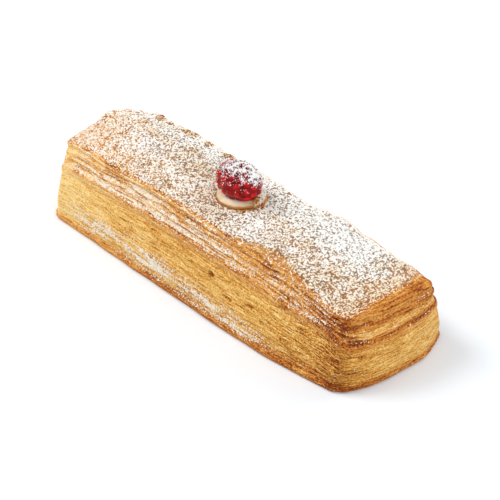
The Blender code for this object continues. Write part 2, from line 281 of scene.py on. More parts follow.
def top_height(u, v, x, y):
    """Height of the top: crowned, waved and blistered, and level round the icing."""
    inside = ease((1 - np.maximum(np.abs(u), np.abs(v))) * 6)
    crown = CROWN * (1 - v * v) * (1 - u**8)
    relief = WAVE * waves(x, y, 3.7, WAVE_SPACING) + BUMP * waves(x, y, 8.1, BUMP_SPACING)
    crags = EDGE * waves(x, y, 30.1, EDGE_SPACING) * (1 - inside)
    z = rim_height(x, y, v) + crown + crags + relief * mix(0.4, 1, inside)
    return shift(SPOT_HEIGHT, z, from_dollop(x, y), *FLAT_SPOT)


def wall_row(u, v, rim, row):
    """One of the solid's rows of wall points: x, y, z and the outward direction."""
    x, y, out_x, out_y = plan(u, v, row.spread)
    seam = along(SEAM, x)
    z = mix(rim, seam, row.share) if row.upper else mix(seam, 0, row.share)
    if row.share < 1:
        z += LEVEL_WOBBLE * waves(x, y, 20 + row.flake, WOBBLE_SPACING) * np.minimum(1, z / 0.004)
    lip = row.lip
    if row.upper and 0.1 < row.share < 0.9:
        close = rise(spots(x, y, 0.011, 95, row.flake), -0.5, 0.3)
        close = np.maximum(close, np.maximum(rise(-x, 0.066, 0.076), 0.6 * rise(x, 0.074, 0.08)))
        lip *= 1 - GAP_CLOSING * close
    elif row.flake == SEAM_FLAKE:
        lip *= shift(0.6, 0.2, -x, 0.066, 0.08)
    reach = lip + row.ragged * waves(x, y, 50.3 * row.flake, FLAKE_SPACING)
    if not row.upper:
        reach += BELLY * math.sin(math.pi * row.share)
    return np.stack([x + out_x * reach, y + out_y * reach, z, out_x, out_y])


def even_level(row):
    """The row's height on an even block."""
    return mix(EVEN_RIM, EVEN_SEAM, row.share) if row.upper else mix(EVEN_SEAM, 0, row.share)


# ---------------------------------------------------------------- the crust
LEAF_STRIDE, CRACK_STRIDE = 3.37, 7.13  # from layer to layer in the noise, so that no two are alike


def layers(x, y, level, pitch, warp, length, open_share, seed):
    """Baked layers of the wall: how far each stands out, -1 to 1, and the cracks between, 0 to 1."""
    bend = warp * spots(x, y, 0.016, seed, 1.5) + 0.2 * spots(x, y, 0.005, seed + 1, 2.5)
    place = level / pitch + bend
    layer = np.floor(place)
    below = spots(x, y, length, seed + 2, (layer - 1) * LEAF_STRIDE)
    here = spots(x, y, length, seed + 2, layer * LEAF_STRIDE)
    border = np.floor(place + 0.5)
    closed = 1 - 2 * open_share
    opened = rise(spots(x, y, length, seed + 3, border * CRACK_STRIDE), closed, closed + 0.3)
    crack = opened * (1 - rise(np.abs(place - border), 0.08, 0.3))
    return shift(below, here, place - layer, 0, 0.3), crack


# Air holes baked open in the lower wall: face, place along it, height, half length, half height and depth
Hole = namedtuple("Hole", "side at height length tall depth")
HOLES = (
    Hole("front", -0.0371, 0.0172, 0.0018, 0.0006, 0.0007),
    Hole("front", -0.0243, 0.0205, 0.0013, 0.0005, 0.0005),
    Hole("front", 0.0134, 0.018, 0.0016, 0.0011, 0.001),
    Hole("front", 0.0228, 0.0128, 0.0024, 0.0008, 0.001),
    Hole("front", 0.0343, 0.0148, 0.0019, 0.0006, 0.0007),
    Hole("front", 0.0483, 0.0205, 0.0022, 0.0006, 0.0008),
    Hole("front", 0.0409, 0.0117, 0.0015, 0.0006, 0.0006),
    Hole("front", 0.06, 0.0085, 0.002, 0.0005, 0.0005),
    Hole("right", -0.0166, 0.0121, 0.0013, 0.0006, 0.0008),
)
HIDDEN_HOLES = 14  # drawn at random on the back and the far end, within these heights and sizes
HIDDEN_RANGES = ((0.007, 0.02), (0.0011, 0.0024), (0.0005, 0.0009), (0.0005, 0.0009))
HOLE_SEED = 5
SIDE_FROM, END_FROM = 0.02, 0.074  # points of the wall further out than this lie on a long side, or on an end


def all_holes():
    drawn = random.Random(HOLE_SEED)
    yield from HOLES
    for k in range(HIDDEN_HOLES):
        side, reach = ("back", 0.065) if k % 4 else ("left", 0.015)
        at = drawn.uniform(-reach, reach)
        yield Hole(side, at, *[drawn.uniform(low, high) for low, high in HIDDEN_RANGES])


def hole_depth(x, y, z):
    """Depth of the air holes at points of the wall."""
    depth = np.zeros_like(x)
    for hole in all_holes():
        long_side = hole.side in ("front", "back")
        across, outward = (x, y) if long_side else (y, x)
        facing = outward * (-1 if hole.side in ("front", "left") else 1)
        on_side = facing > (SIDE_FROM if long_side else END_FROM)
        ragged = 1 + 0.25 * spots(across, z, 0.0008, 21, hole.at * 1000)
        away = (((across - hole.at) / hole.length) ** 2 + ((z - hole.height) / hole.tall) ** 2) * ragged
        depth = np.maximum(depth, np.where(on_side, hole.depth * (1 - rise(away, 0.4, 1.3)), 0))
    return depth


# Spots along the edges of the top that caught the heat: place in plan, half length, half width, browning
TOASTED = (
    (0.0136, -0.0178, 0.0016, 0.0008, 0.42), (0.0352, -0.019, 0.0026, 0.0009, 0.3),
    (0.04, -0.0196, 0.002, 0.0008, 0.34), (-0.08, -0.015, 0.0024, 0.003, 0.34),
    (-0.048, -0.0186, 0.006, 0.0012, 0.2), (0.0784, 0.013, 0.0022, 0.004, 0.17),
    (0.078, -0.004, 0.002, 0.003, 0.12), (-0.062, 0.0182, 0.004, 0.0022, 0.15),
    (-0.046, 0.0184, 0.0044, 0.0022, 0.25), (-0.035, 0.0184, 0.0024, 0.0018, 0.2),
    (-0.024, 0.0184, 0.0026, 0.002, 0.2),
)


def toasted(x, y):
    """Extra browning of the crust near its top edge, in spots."""
    brown = np.zeros_like(x)
    for at_x, at_y, long, wide, amount in TOASTED:
        away = np.hypot((x - at_x) / long, (y - at_y) / wide) + 0.4 * spots(x, y, 0.0009, 45)
        brown = np.maximum(brown, amount * (1 - rise(away, 0.5, 1.3)))
    return brown


def frill(x, y):
    """How far the crisp edge of the top stands out at points near it."""
    return FRILL * (0.6 * spots(x, y, 0.003, 81) + 0.4 * spots(x, y, 0.0011, 82))


def terraces(x, y, u, v):
    """Depth of the steps where leaves end along the top's edge, and how near a leaf's end is, 0 to 1."""
    right = (1 - u) * TOP_LONG / TERRACE_AT_END
    others = np.minimum((1 + u) * TOP_LONG, (1 - np.abs(v)) * TOP_WIDE) / TERRACE
    place = TERRACE_LEAVES * np.minimum(right, others)
    place = place + 0.6 * spots(x, y, 0.008, 83) + 0.5 * spots(x, y, 0.0018, 84)
    leaf = np.floor(place)
    part = place - leaf
    stair = np.clip((leaf + rise(part, 0, 0.35)) / TERRACE_LEAVES, 0, 1)
    end = (1 - rise(np.abs(part - 0.15), 0.05, 0.3)) * (stair < 1)
    return TERRACE_DROP * (1 - stair), end


def hump(value, middle, width):
    """A bell curve, 1 at its middle."""
    return np.exp(-(((value - middle) / width) ** 2))


# Where the sugar fell finest, and where the crust among it is painted greyest as shade: place in plan, half
# length and half width
FINE_SUGAR_AND_GREY_SHADE = (
    (0.045, 0.0105, 0.015, 0.0085), (-0.05, 0.0005, 0.009, 0.0065), (0.018, -0.0055, 0.011, 0.0065),
)


def fine_sugar_and_grey_shade(x, y):
    """The share of the finest sugar, with its painted grey shade, at points of the top, 0 to 1."""
    humps = [hump(x, at_x, long) * hump(y, at_y, wide) for at_x, at_y, long, wide in FINE_SUGAR_AND_GREY_SHADE]
    return np.maximum.reduce(humps)


def sugar_cover(x, y, u, v):
    """The share of the top that sugar hides at each point, 0 to 1."""
    cover = 0.44 + 0.09 * rise(y + 0.1 * x, 0.002, 0.014) - 0.13 * rise(x + 0.4 * y, 0.058, 0.078)
    cover = cover - 0.05 * (1 - rise(x + 1.2 * y, -0.095, -0.07)) + 0.07 * fine_sugar_and_grey_shade(x, y)
    cover = cover + 0.05 * spots(x, y, 0.006, 31) + 0.07 * spots(x, y, 0.0026, 32)
    # thin at the edges
    right = (0.0782 - x) + 0.0012 * blobs(y / 0.004, x / 0.02, 0.5, 35)
    left = (1 + u) * TOP_LONG + 0.003 * rise(y, -0.014, -0.006)
    others = np.minimum(left, (1 + v) * TOP_WIDE + 0.0015 * rise(x, 0.055, 0.062))
    cover = np.maximum(cover, 0.25) * shift(0.25, 1, others, 0.0002, 0.002) * rise(right, 0.0012, 0.0062)
    # thin on a strip along the front too, on the toasted spots at the back, and round the icing
    strip = rise(x, 0.01, 0.022) * (1 - rise(x, 0.049, 0.054))
    ragged = 0.0016 * spots(x, y, 0.0035, 33) + 0.0008 * spots(x, y, 0.0012, 36)
    strip *= rise(-y + ragged + 0.004 * hump(x, 0.034, 0.01), 0.0145, 0.017)
    cover = cover * (1 - 0.6 * strip) * (1 - 2.2 * toasted(x, y) * rise(y, 0.012, 0.015))
    spread = 0.0008 * spots(x, y, 0.0025, 34) + 0.0006 * rise(x, 0.002, 0.008)
    bare = 1 - rise(from_dollop(x, y) - ICING_RADIUS, spread, spread + 0.0007)
    return np.clip(cover * (1 - 0.8 * bare), 0, 1)


def top_points(u, v):
    """Points of the crust's top, with its fine relief and ragged edge, and how near a leaf's end is."""
    x, y, _, _ = plan(u, v, 0)
    z = top_height(u, v, x, y)
    edge_u, edge_v = (1 - np.abs(u)) * TOP_LONG, (1 - np.abs(v)) * TOP_WIDE
    crags = 0.0009 * spots(x, y, 0.004, 85) + 0.0004 * spots(x, y, 0.0015, 86)
    crags *= shift(1.25, 0.45, x, -0.04, 0)
    crags += 0.0006 * rise(-x, 0.03, 0.045) * rise(x, -0.078, -0.07)
    z += crags * rise(v, 0.75, 1)
    fine = 0.00012 * spots(x, y, 0.0032, 18) + 0.00008 * spots(x, y, 0.0013, 19)
    fine *= rise(np.minimum(edge_u, edge_v), 0, 0.001)
    z += fine * rise(from_dollop(x, y), ICING_RADIUS, ICING_RADIUS + 0.003)
    drop, end = terraces(x, y, u, v)
    shove = frill(x, y)
    shoved_x = x + shove * np.sign(u) * (1 - rise(edge_u, 0, FRILL_WIDTH))
    shoved_y = y + shove * np.sign(v) * (1 - rise(edge_v, 0, FRILL_WIDTH))
    return shoved_x, shoved_y, z - drop, end


def crowded(count):
    """Shares from -1 to 1, closer together near both ends."""
    even = np.linspace(-1, 1, count + 1)
    return mix(even, np.sin(even * math.pi / 2), CROWDING)


def add_object(name, data):
    made = bpy.data.objects.new(name, data)
    bpy.context.scene.collection.objects.link(made)
    return made


def make_mesh(name, points, faces, **values):
    """A mesh object of points and faces, with a number at each point for each named value."""
    mesh = bpy.data.meshes.new(name)
    mesh.from_pydata(points.tolist(), [], faces)
    for key, numbers in values.items():
        layer = mesh.attributes.new(key, "FLOAT", "POINT")
        layer.data.foreach_set("value", np.ascontiguousarray(numbers, dtype=np.float32))
    mesh.validate()
    mesh.shade_smooth()
    return add_object(name, mesh)


def grid_faces(rows, columns, wrap=False):
    """Quads of a grid of points numbered row by row, as an array."""
    index = np.arange(rows * columns).reshape(rows, columns)
    if wrap:
        index = np.concatenate([index, index[:, :1]], axis=1)
    return np.stack([index[:-1, :-1], index[:-1, 1:], index[1:, 1:], index[1:, :-1]], axis=-1).reshape(-1, 4)


def edge_loop(shape):
    """Numbers of the points round a grid's edge, anticlockwise from the front's left corner."""
    ids = np.arange(shape[0] * shape[1]).reshape(shape)
    return np.concatenate([ids[0, :-1], ids[:-1, -1], ids[-1, :0:-1], ids[:0:-1, 0]])


def band(loop, other):
    """Quads from one loop of points to another."""
    return np.stack([loop, other, np.roll(other, -1), np.roll(loop, -1)], -1)


class Piece:
    """A mesh in the making: points, their quads, all faces, and numbers at the points for its material."""

    def __init__(self, points, quads, faces):
        self.points, self.quads, self.faces, self.numbers = points, quads, faces, {}

    def make(self, name):
        spare = len(self.points)
        numbers = {
            key: np.concatenate([np.ravel(given), np.full(spare - np.size(given), np.ravel(given)[0])])
            for key, given in self.numbers.items()
        }
        return make_mesh(name, self.points, self.faces, **numbers)


def inner_lid(points, loop, start, up):
    """Points of a sunken spine under the top, numbered from start, and the faces from a loop down to it."""
    spine_x = np.linspace(-SPINE_HALF, SPINE_HALF, SPINE_POINTS)
    spine = np.stack([spine_x, 0 * spine_x, rim_height(spine_x, 0 * spine_x, 0) - SPINE_DEPTH], -1)
    share = (np.clip(points[loop, 0], -SPINE_HALF, SPINE_HALF) + SPINE_HALF) / (2 * SPINE_HALF)
    near = start + np.rint(share * (SPINE_POINTS - 1)).astype(int)
    faces = []
    for p, q, a, b in zip(loop, np.roll(loop, -1), near, np.roll(near, -1)):
        face = [int(p), int(q), int(a)] if a == b else [int(p), int(q), int(b), int(a)]
        faces.append(face if up else face[::-1])
    return spine, faces


def closed_piece(grid, loop, quads, outward, side):
    """A sheet of points closed off inside the crust, under it (side -1) or within its top edge (side 1)."""
    points = grid.reshape(-1, 3)
    tuck = points[loop] - LAP * np.stack([*outward, np.ones(len(loop))], -1)
    points = np.concatenate([points, tuck])
    lower = len(points) - len(loop) + np.arange(len(loop))
    spine, lid = inner_lid(points, lower, len(points), side > 0)
    points = np.concatenate([points, spine]) + CENTRING
    return Piece(points, quads, quads.tolist() + band(loop, lower)[:, ::-side].tolist() + lid)


# Browning from end to end of the front, and across the near end, of the even wall between its cracks
FRONT_TONE = (
    (-0.079, 0.1), (-0.061, 0.2), (-0.05, 0.3), (-0.029, 0.36), (-0.002, 0.45), (0.03, 0.41), (0.055, 0.47),
    (0.072, 0.66), (0.08, 0.88),
)
END_TONE = ((-0.028, 0.9), (-0.022, 0.7), (-0.013, 0.5), (0, 0.42), (0.01, 0.36), (0.028, 0.38))
# The same above the seam: along the front, and up the near end
UPPER_TONE = ((-0.079, 0.08), (-0.062, 0.18), (-0.04, 0.28), (0.01, 0.36), (0.05, 0.42), (0.074, 0.78))
END_BANDS = (
    (0.0238, 0.74), (0.0252, 0.7), (0.0259, 0.42), (0.0274, 0.36), (0.0283, 0.54), (0.0296, 0.7),
    (0.0305, 0.5), (0.0316, 0.46), (0.0324, 0.52), (0.033, 0.52),
)


def wall_grid(u, v, z):
    """Points of the wall under a loop of its rim: x, y, z, the outward direction, and even levels."""
    x, y, out_x, out_y = plan(u, v, 0)
    rows = [np.stack([x, y, z, out_x, out_y])] + [wall_row(u, v, z, row) for row in ROWS]
    heights = [EVEN_RIM] + [even_level(row) for row in ROWS]
    walls, levels = [], []
    for k, row in enumerate(ROWS):
        drop = heights[k] - heights[k + 1]
        count = max(3, math.ceil(drop / (UPPER_STEP if row.upper else LOWER_STEP)))
        for t in np.arange(1, count + 1) / count:
            walls.append(through(rows, k, t))
            levels.append(mix(heights[k], heights[k + 1], t))
    return (*np.array(walls).swapaxes(0, 1), np.array(levels)[:, None] * np.ones(len(u)))


def with_rim(numbers):
    """Numbers of the wall, and its first row once more for the rim above."""
    return np.concatenate([numbers[:1], numbers])


def crust_pieces():
    """The crust's top and its wall, which meet along the top's edge, each closed inside."""
    v, u = np.meshgrid(crowded(GRID_Y), crowded(GRID_X), indexing="ij")
    x, y, z, leaf_end = top_points(u, v)
    loop = edge_loop(u.shape)
    wx, wy, wz, out_x, out_y, level = wall_grid(u.flat[loop], v.flat[loop], z.flat[loop])

    upper = rise(level, EVEN_SEAM - 0.0002, EVEN_SEAM + 0.0006)
    near_end = rise(out_x, 0.5, 0.8)
    leaf, leaf_crack = layers(wx, wy, level, LEAF_PITCH, warp=0.55, length=0.006, open_share=0.6, seed=3)
    ply, ply_crack = layers(wx, wy, level, PLY_PITCH, warp=0.8, length=0.005, open_share=0.42, seed=13)
    rough = 0.6 * flecks(wx, wy, level, 0.0015, 0.0006, 17) + 0.4 * flecks(wx, wy, level, 0.0007, 0.0004, 16)
    torn = 0.6 * flecks(wx, wy, level, 0.003, 0.0011, 46) + 0.4 * flecks(wx, wy, level, 0.0012, 0.0008, 50)
    torn = torn * rise(wx, *NEAR_CORNER) * rise(-wy, 0.008, 0.015)
    holes = hole_depth(wx, wy, wz)
    leaf_crack *= shift(1, 0.4, -wx, 0.062, 0.076)
    out_upper = (LEAF_REACH * leaf - LEAF_CRACK * leaf_crack) * mix(1, 0.5, near_end)
    out_upper = out_upper + 0.0001 * rough + TORN_REACH * torn
    out_lower = PLY_REACH * ply - PLY_CRACK * ply_crack + 0.00005 * rough
    inside = rise(EVEN_RIM - level, 0, 0.0005) * rise(wz, 0, 0.0012)
    out = inside * mix(out_lower, out_upper, upper) - holes
    out += frill(wx, wy) * (1 - rise(EVEN_RIM - level, 0, 0.0016))
    wx, wy = wx + out_x * out, wy + out_y * out

    outward = plan(u.flat[loop], v.flat[loop], 0)[2:]
    grid = np.stack([x, y, z], -1)
    top = closed_piece(grid, loop, grid_faces(*u.shape), outward, -1)
    wall_points = np.concatenate([grid.reshape(-1, 3)[loop][None], np.stack([wx, wy, wz], -1)])
    wall_quads = grid_faces(*wall_points.shape[:2], wrap=True)[:, ::-1]
    wall = closed_piece(wall_points, np.arange(len(loop)), wall_quads, outward, 1)
    wall.faces.append((wx.size + np.arange(len(loop)))[::-1].tolist())

    looks = wall_looks(wx, wy, wz, level, upper, near_end, leaf, leaf_crack, ply, ply_crack, torn, holes)
    wall.numbers = {key: with_rim(numbers) for key, numbers in looks.items()}
    wall.level = with_rim(level).ravel()
    wall.crack = with_rim(mix(ply_crack, leaf_crack, upper)).ravel()
    top.numbers = top_looks(x, y, u, v, leaf_end)
    return top, wall


def wall_looks(x, y, z, level, upper, near_end, leaf, leaf_crack, ply, ply_crack, torn, holes):
    """Numbers for the material at points of the wall. Browning is 0 for pale dough, 1 for nearly burnt; it
    also holds painted shade in the cracks and air holes, and painted light under the seam's lip.
    """
    near_front = 1 - near_end
    near = rise(x, 0.036, 0.062)
    burnt = (0.0008 + 0.003 * near) * near_front * rise(x, -0.08, -0.066)
    burnt *= 1 - 0.8 * rise(x, 0.066, 0.076)
    foot = 1 - rise(z - burnt + 0.0005 * ply, 0.0014, 0.0034)
    lower = mix(along(FRONT_TONE, x), along(END_TONE, y), near_end)
    lower += mix(0.23, 0.12, near * near_front) * foot
    # a browner line just under the seam; below it the front is painted paler, as painted light against the
    # lip's shadow
    lower += (0.22 * rise(level, 0.0229, 0.0236) - 0.13 * rise(level, 0.0204, 0.0226)) * near_front
    # darker along the cracks between the plies: painted shade in the cracks
    lower = lower + 0.08 * ply_crack + 0.03 * ply + 0.03 * flecks(x, y, level, 0.01, 0.003, 41)
    over = mix(along(UPPER_TONE, x), along(END_BANDS, level), near_end)
    # darker along the cracks between the leaves: painted shade in the cracks
    over = over + mix(0.26, 0.1, near_end) * leaf_crack + 0.05 * leaf
    over += 0.08 * flecks(x, y, level, 0.006, 0.0012, 42)
    lip = 1 - rise(level, EVEN_SEAM + 0.0004, EVEN_SEAM + 0.0012)
    over = over + 0.15 * rise(-y, 0.013, 0.02) * near_end - 0.16 * torn + 0.2 * lip * near_front
    # inside the air holes the crust is painted darker, as painted shade; toasted spots brown the upper wall
    brown = mix(lower, over, upper) + 0.35 * np.clip(holes / 0.0008, 0, 1) + toasted(x, y) * upper
    contrast = mix(mix(shift(0.95, 1.5, x, 0.03, 0.075), 1, upper), mix(0.95, 0.9, upper), near_end)
    ruddy_lower = np.maximum(foot, 0.35 * rise(x, 0.05, 0.078) * near_front)
    ruddy_lower = np.maximum(ruddy_lower, rise(level, 0.0196, 0.0222))
    ruddy_end = 1 - 0.7 * rise(-along(END_BANDS, level), -0.5, -0.35)
    ruddy_upper = np.maximum(mix(0.7 + 0.3 * rise(x, 0, 0.06), ruddy_end, near_end), lip)
    bend = 0.0005 * flecks(x, y, level, 0.01, 0.006, 47)
    bend += 0.0003 * flecks(x, y, level, 0.0036, 0.0022, 48)
    return {
        "brown": np.clip(brown, 0, 1),
        "level": level + bend * (1 - upper),
        "contrast": contrast,
        "ruddy": mix(ruddy_lower, ruddy_upper, upper),
        "gap_shade_and_haze": np.zeros_like(x),
        "grey_shade_and_haze": np.zeros_like(x),
    }


def top_looks(x, y, u, v, leaf_end):
    """Numbers for the material at points of the crust's top."""
    cover = sugar_cover(x, y, u, v)
    inward = np.minimum((1 - np.abs(u)) * TOP_LONG, (1 - np.abs(v)) * TOP_WIDE)
    # among the sugar the crust is painted greyer and browner, as painted shade between the sugar's lumps with
    # a haze of fine powder
    gap_shade_and_haze = rise(x + 1.2 * y, -0.084, -0.034) * (1 - 0.5 * rise(x, 0.058, 0.076))
    gap_shade_and_haze = gap_shade_and_haze * rise(inward, 0.0008, 0.003) * rise(cover, 0.1, 0.34)
    gap_shade_and_haze *= 0.7 + 0.3 * rise(y + 0.1 * x, 0, 0.014)
    brown = 0.54 + 0.1 * rise(cover, 0.16, 0.28) + 0.18 * gap_shade_and_haze
    brown = brown + 0.08 * spots(x, y, 0.012, 43) + 0.12 * spots(x, y, 0.004, 44)
    brown = brown + 0.16 * leaf_end + toasted(x, y)
    ruddy = 0.66 - 0.4 * gap_shade_and_haze + 0.4 * spots(x, y, 0.006, 49) + 0.3 * rise(x, 0.068, 0.074)
    far_edge = np.maximum(rise(v, 0.9, 0.975), rise(-u, 0.975, 0.993) * rise(y, -0.012, -0.006))
    far_edge = far_edge * (1 - rise(x, *NEAR_CORNER)) * (1 - 3 * toasted(x, y))
    dust = 0.3 * cover + 0.24 * (1 - rise(cover, 0.18, 0.28)) * (1 - rise(x, 0.058, 0.072))
    return {
        "brown": np.clip(brown, 0, 1),
        "dust": mix(dust, shift(0.62, 0.8, x, -0.045, -0.01), far_edge),
        "level": EVEN_RIM + 0.0001 + 0.5 * inward,  # the leaves' lines run on along the edges
        "contrast": np.full(x.shape, 0.8),
        "ruddy": np.clip(ruddy, 0, 1),
        "gap_shade_and_haze": gap_shade_and_haze,
        "grey_shade_and_haze": fine_sugar_and_grey_shade(x, y),
    }


def point_normals(points, quads):
    """Unit normals at points, from the quads round each."""
    a, b, c, d = (points[quads[:, k]] for k in range(4))
    diagonals = np.cross(c - a, d - b)
    normals = np.zeros_like(points)
    for k in range(4):
        np.add.at(normals, quads[:, k], diagonals)
    return normals / np.maximum(np.linalg.norm(normals, axis=1, keepdims=True), 1e-15)


# Height of the drift of sugar low on the front, from end to end
DRIFT = (
    (-0.08, 0.0076), (-0.054, 0.0074), (-0.031, 0.0078), (-0.017, 0.0066), (0.002, 0.006), (0.018, 0.0052),
    (0.032, 0.0048), (0.05, 0.0046),
)


def dust_on_wall(points, normals, level, crack):
    """How thickly the sugar lies on the wall: on what faces up, and as a drift low on the front."""
    x, y, z = points.T
    patch = 0.5 + 0.5 * flecks(x, y, level, 0.007, 0.0016, 51)
    near_end = rise(normals[:, 0], 0.5, 0.8)
    fall = shift(1, 0.58, x, 0.002, 0.034) + 0.14 * rise(x, 0.044, 0.056)
    fall = fall * rise(x, -0.082, -0.06) * shift(1, mix(0.24, 0.6, near_end), x, 0.063, 0.076)
    bare = 0.48 * rise(level + 0.0008 * spots(x, y, 0.006, 52), 0.0282, 0.03)
    bare *= 1 - 0.8 * hump(x, 0, 0.009) - 0.6 * rise(x, 0.046, 0.054)
    on_upper = fall * shift(0.45, 1, normals[:, 2], 0.12, 0.6) * (0.42 + 0.3 * patch)
    on_upper *= 1 - bare * rise(0.8 - patch, 0, 0.4)
    on_upper *= rise(level, EVEN_SEAM - 0.0002, EVEN_SEAM + 0.0007)
    on_upper *= mix(1, 0.1 + 0.9 * rise(patch, 0.55, 0.8), near_end)
    open_to_sky = rise(normals[:, 2], -0.3, 0) * (1 - 0.9 * crack)
    streaks = 0.5 + 0.42 * flecks(x, y, level, 0.008, 0.0008, 53)
    streaks += 0.16 * flecks(x, 0, level, 0.004, 0.0004, 54)
    drift = hump(level, along(DRIFT, x), shift(0.0046, 0.0041, x, -0.024, 0)) * (1 - rise(x, 0.03, 0.058))
    drift = drift * rise(z, 0.0014, 0.0026) * rise(x, -0.078, -0.06)
    drift = drift * shift(0.85, 1.1, x, -0.035, -0.02) * shift(1, 0.95, x, -0.014, -0.006)
    seam = 0.12 * rise(level, 0.0208, 0.023) * shift(1, 0.5, x, -0.01, 0.025) * rise(x, -0.076, -0.06)
    on_lower = np.maximum(drift * (0.22 + 0.48 * rise(streaks, 0.36, 0.66)), seam)
    on_lower *= rise(-normals[:, 1], 0.3, 0.6)
    upper = rise(level, EVEN_SEAM - 0.0004, EVEN_SEAM + 0.0004)
    return np.clip(mix(on_lower, on_upper * open_to_sky, upper), 0, 1)


# ---------------------------------------------------------------- sugar
def make_sugar_sheet():
    """The powder on the top as one sheet, heaped into lumps, that dips under the crust between them."""
    v, u = np.meshgrid(crowded(SUGAR_Y) * SUGAR_WIDE, crowded(SUGAR_X) * SUGAR_LONG, indexing="ij")
    x, y, z, _ = top_points(u, v)
    cover = sugar_cover(x, y, u, v)
    lumps = 0.65 * spots(x, y, SUGAR_LUMP, 91) + 0.35 * spots(x, y, SUGAR_LUMP / 2, 92)
    heap = np.clip((rank(lumps) - 1 + cover) * SUGAR_HEAP, -SUGAR_SINK, SUGAR_THICK)
    heap += 0.00005 * spots(x, y, 0.0011, 93) * (heap > 0)
    border = edge_loop(u.shape)
    heap.flat[border] = -2 * SUGAR_SINK
    points = np.stack([x, y, z + heap], -1).reshape(-1, 3) + CENTRING
    quads = grid_faces(*u.shape)
    closed = np.concatenate([points, points[border] - (0, 0, 5 * SUGAR_SINK)])
    lower = u.size + np.arange(len(border))
    spine, lid = inner_lid(closed, lower, len(closed), False)
    all_points = np.concatenate([closed, spine])
    thick = np.zeros(len(all_points))
    thick[: u.size] = rise(cover, 0.32, 0.56).ravel()
    faces = quads.tolist() + band(border, lower).tolist() + lid
    made = make_mesh("sugar_on_top", all_points, faces, thick=thick)
    return made, points, quads, heap.ravel(), cover.ravel()


OCTAHEDRON = np.array([[1, 0, 0], [-1, 0, 0], [0, 1, 0], [0, -1, 0], [0, 0, 1], [0, 0, -1]], float)
OCTAHEDRON_FACES = np.array(
    [[0, 2, 4], [2, 1, 4], [1, 3, 4], [3, 0, 4], [2, 0, 5], [1, 2, 5], [3, 1, 5], [0, 3, 5]]
)
GRAIN_LIFT = 0.25  # height of a grain's middle over the surface, as a share of its radius


def scatter(name, points, quads, weight, thick, count, small, large, seed):
    """Joined grains of sugar on a surface, most where weight, a number at each point, is highest."""
    drawn = np.random.default_rng(seed)
    a, b, c, d = (points[quads[:, k]] for k in range(4))
    normal = np.cross(c - a, d - b)
    area = np.linalg.norm(normal, axis=1)
    normal /= np.maximum(area, 1e-15)[:, None]
    chance = area * weight[quads].mean(axis=1)
    chosen = drawn.choice(len(quads), count, p=chance / chance.sum())
    s, t = drawn.random((2, count, 1))
    place = mix(mix(a[chosen], b[chosen], s), mix(d[chosen], c[chosen], s), t)
    radius = mix(small, large, drawn.random(count) ** 2)[:, None]
    turn = np.linalg.qr(drawn.normal(size=(count, 3, 3)))[0]
    stretch = drawn.uniform(0.65, 1.25, (count, 1, 3))
    grains = (OCTAHEDRON * stretch) @ turn * radius[:, None]
    grains += (place + normal[chosen] * GRAIN_LIFT * radius)[:, None]
    faces = OCTAHEDRON_FACES + 6 * np.arange(count)[:, None, None]
    # A mirrored turn would leave a grain inside out
    mirrored = np.linalg.det(turn) < 0
    faces[mirrored] = faces[mirrored][:, :, ::-1]
    whiteness = thick[quads].mean(axis=1)[chosen] + drawn.normal(0, 0.15, count)
    whiteness = np.repeat(np.clip(whiteness, 0, 1), 6)
    made = make_mesh(name, grains.reshape(-1, 3), faces.reshape(-1, 3).tolist(), thick=whiteness)
    made.data.shade_flat()
    return made


# ---------------------------------------------------------------- the raspberry and its icing
def on_spot(x, y, z):
    """A place above the top, from the icing's middle."""
    return np.array((DOLLOP_X + x, DOLLOP_Y + y, SPOT_HEIGHT + z)) + CENTRING


def unit_ball(subdivisions):
    """Points and triangles of a ball with radius 1."""
    bm = bmesh.new()
    bmesh.ops.create_icosphere(bm, subdivisions=subdivisions, radius=1)
    points = np.array([vert.co[:] for vert in bm.verts])
    faces = np.array([[vert.index for vert in face.verts] for face in bm.faces])
    bm.free()
    return points, faces


def drupelet_centres():
    """The solid's drupelets, as centres from the berry's middle."""
    drawn = random.Random(BERRY_SEED)
    length, width, height = (half - DRUPELET_RADIUS for half in BERRY_HALF)
    for k in range(DRUPELET_ROUNDS):
        angle = mix(-math.pi / 2, math.pi / 2, (k + 0.75) / (DRUPELET_ROUNDS + 0.5))
        girth = math.cos(angle)
        count = round(math.pi * (width + height) * girth / DRUPELET_SPACING)
        for n in range(count):
            turn = 2 * math.pi * (n + k % 2 / 2) / count
            stray = [drawn.uniform(-1, 1) * DRUPELET_SCATTER for _ in "xyz"]
            out, up = width * girth * math.sin(turn), height * girth * math.cos(turn)
            if up - DRUPELET_RADIUS - DRUPELET_SCATTER > BERRY_FOOT:
                yield [at + off for at, off in zip((length * math.sin(angle), out, up), stray)]


BERRY_CREASE = 9000  # the higher, the sharper the creases between drupelets
BERRY_FILLET = 0.00006  # the most that a crease is filled
BERRY_DIMPLE, DIMPLE_SPACING = 0.00004, 0.0012  # depth and spacing of the dimples on the drupelets
BERRY_FINENESS = 7  # subdivisions of the ball that it is formed from
BERRY_FLESH = 0.00038  # how far the flesh between the drupelets lies within the berry's outline


def ellipsoid(directions, halves):
    """Distance of an ellipsoid's skin from its middle, in each direction."""
    return 1 / np.linalg.norm(directions / halves, axis=1)


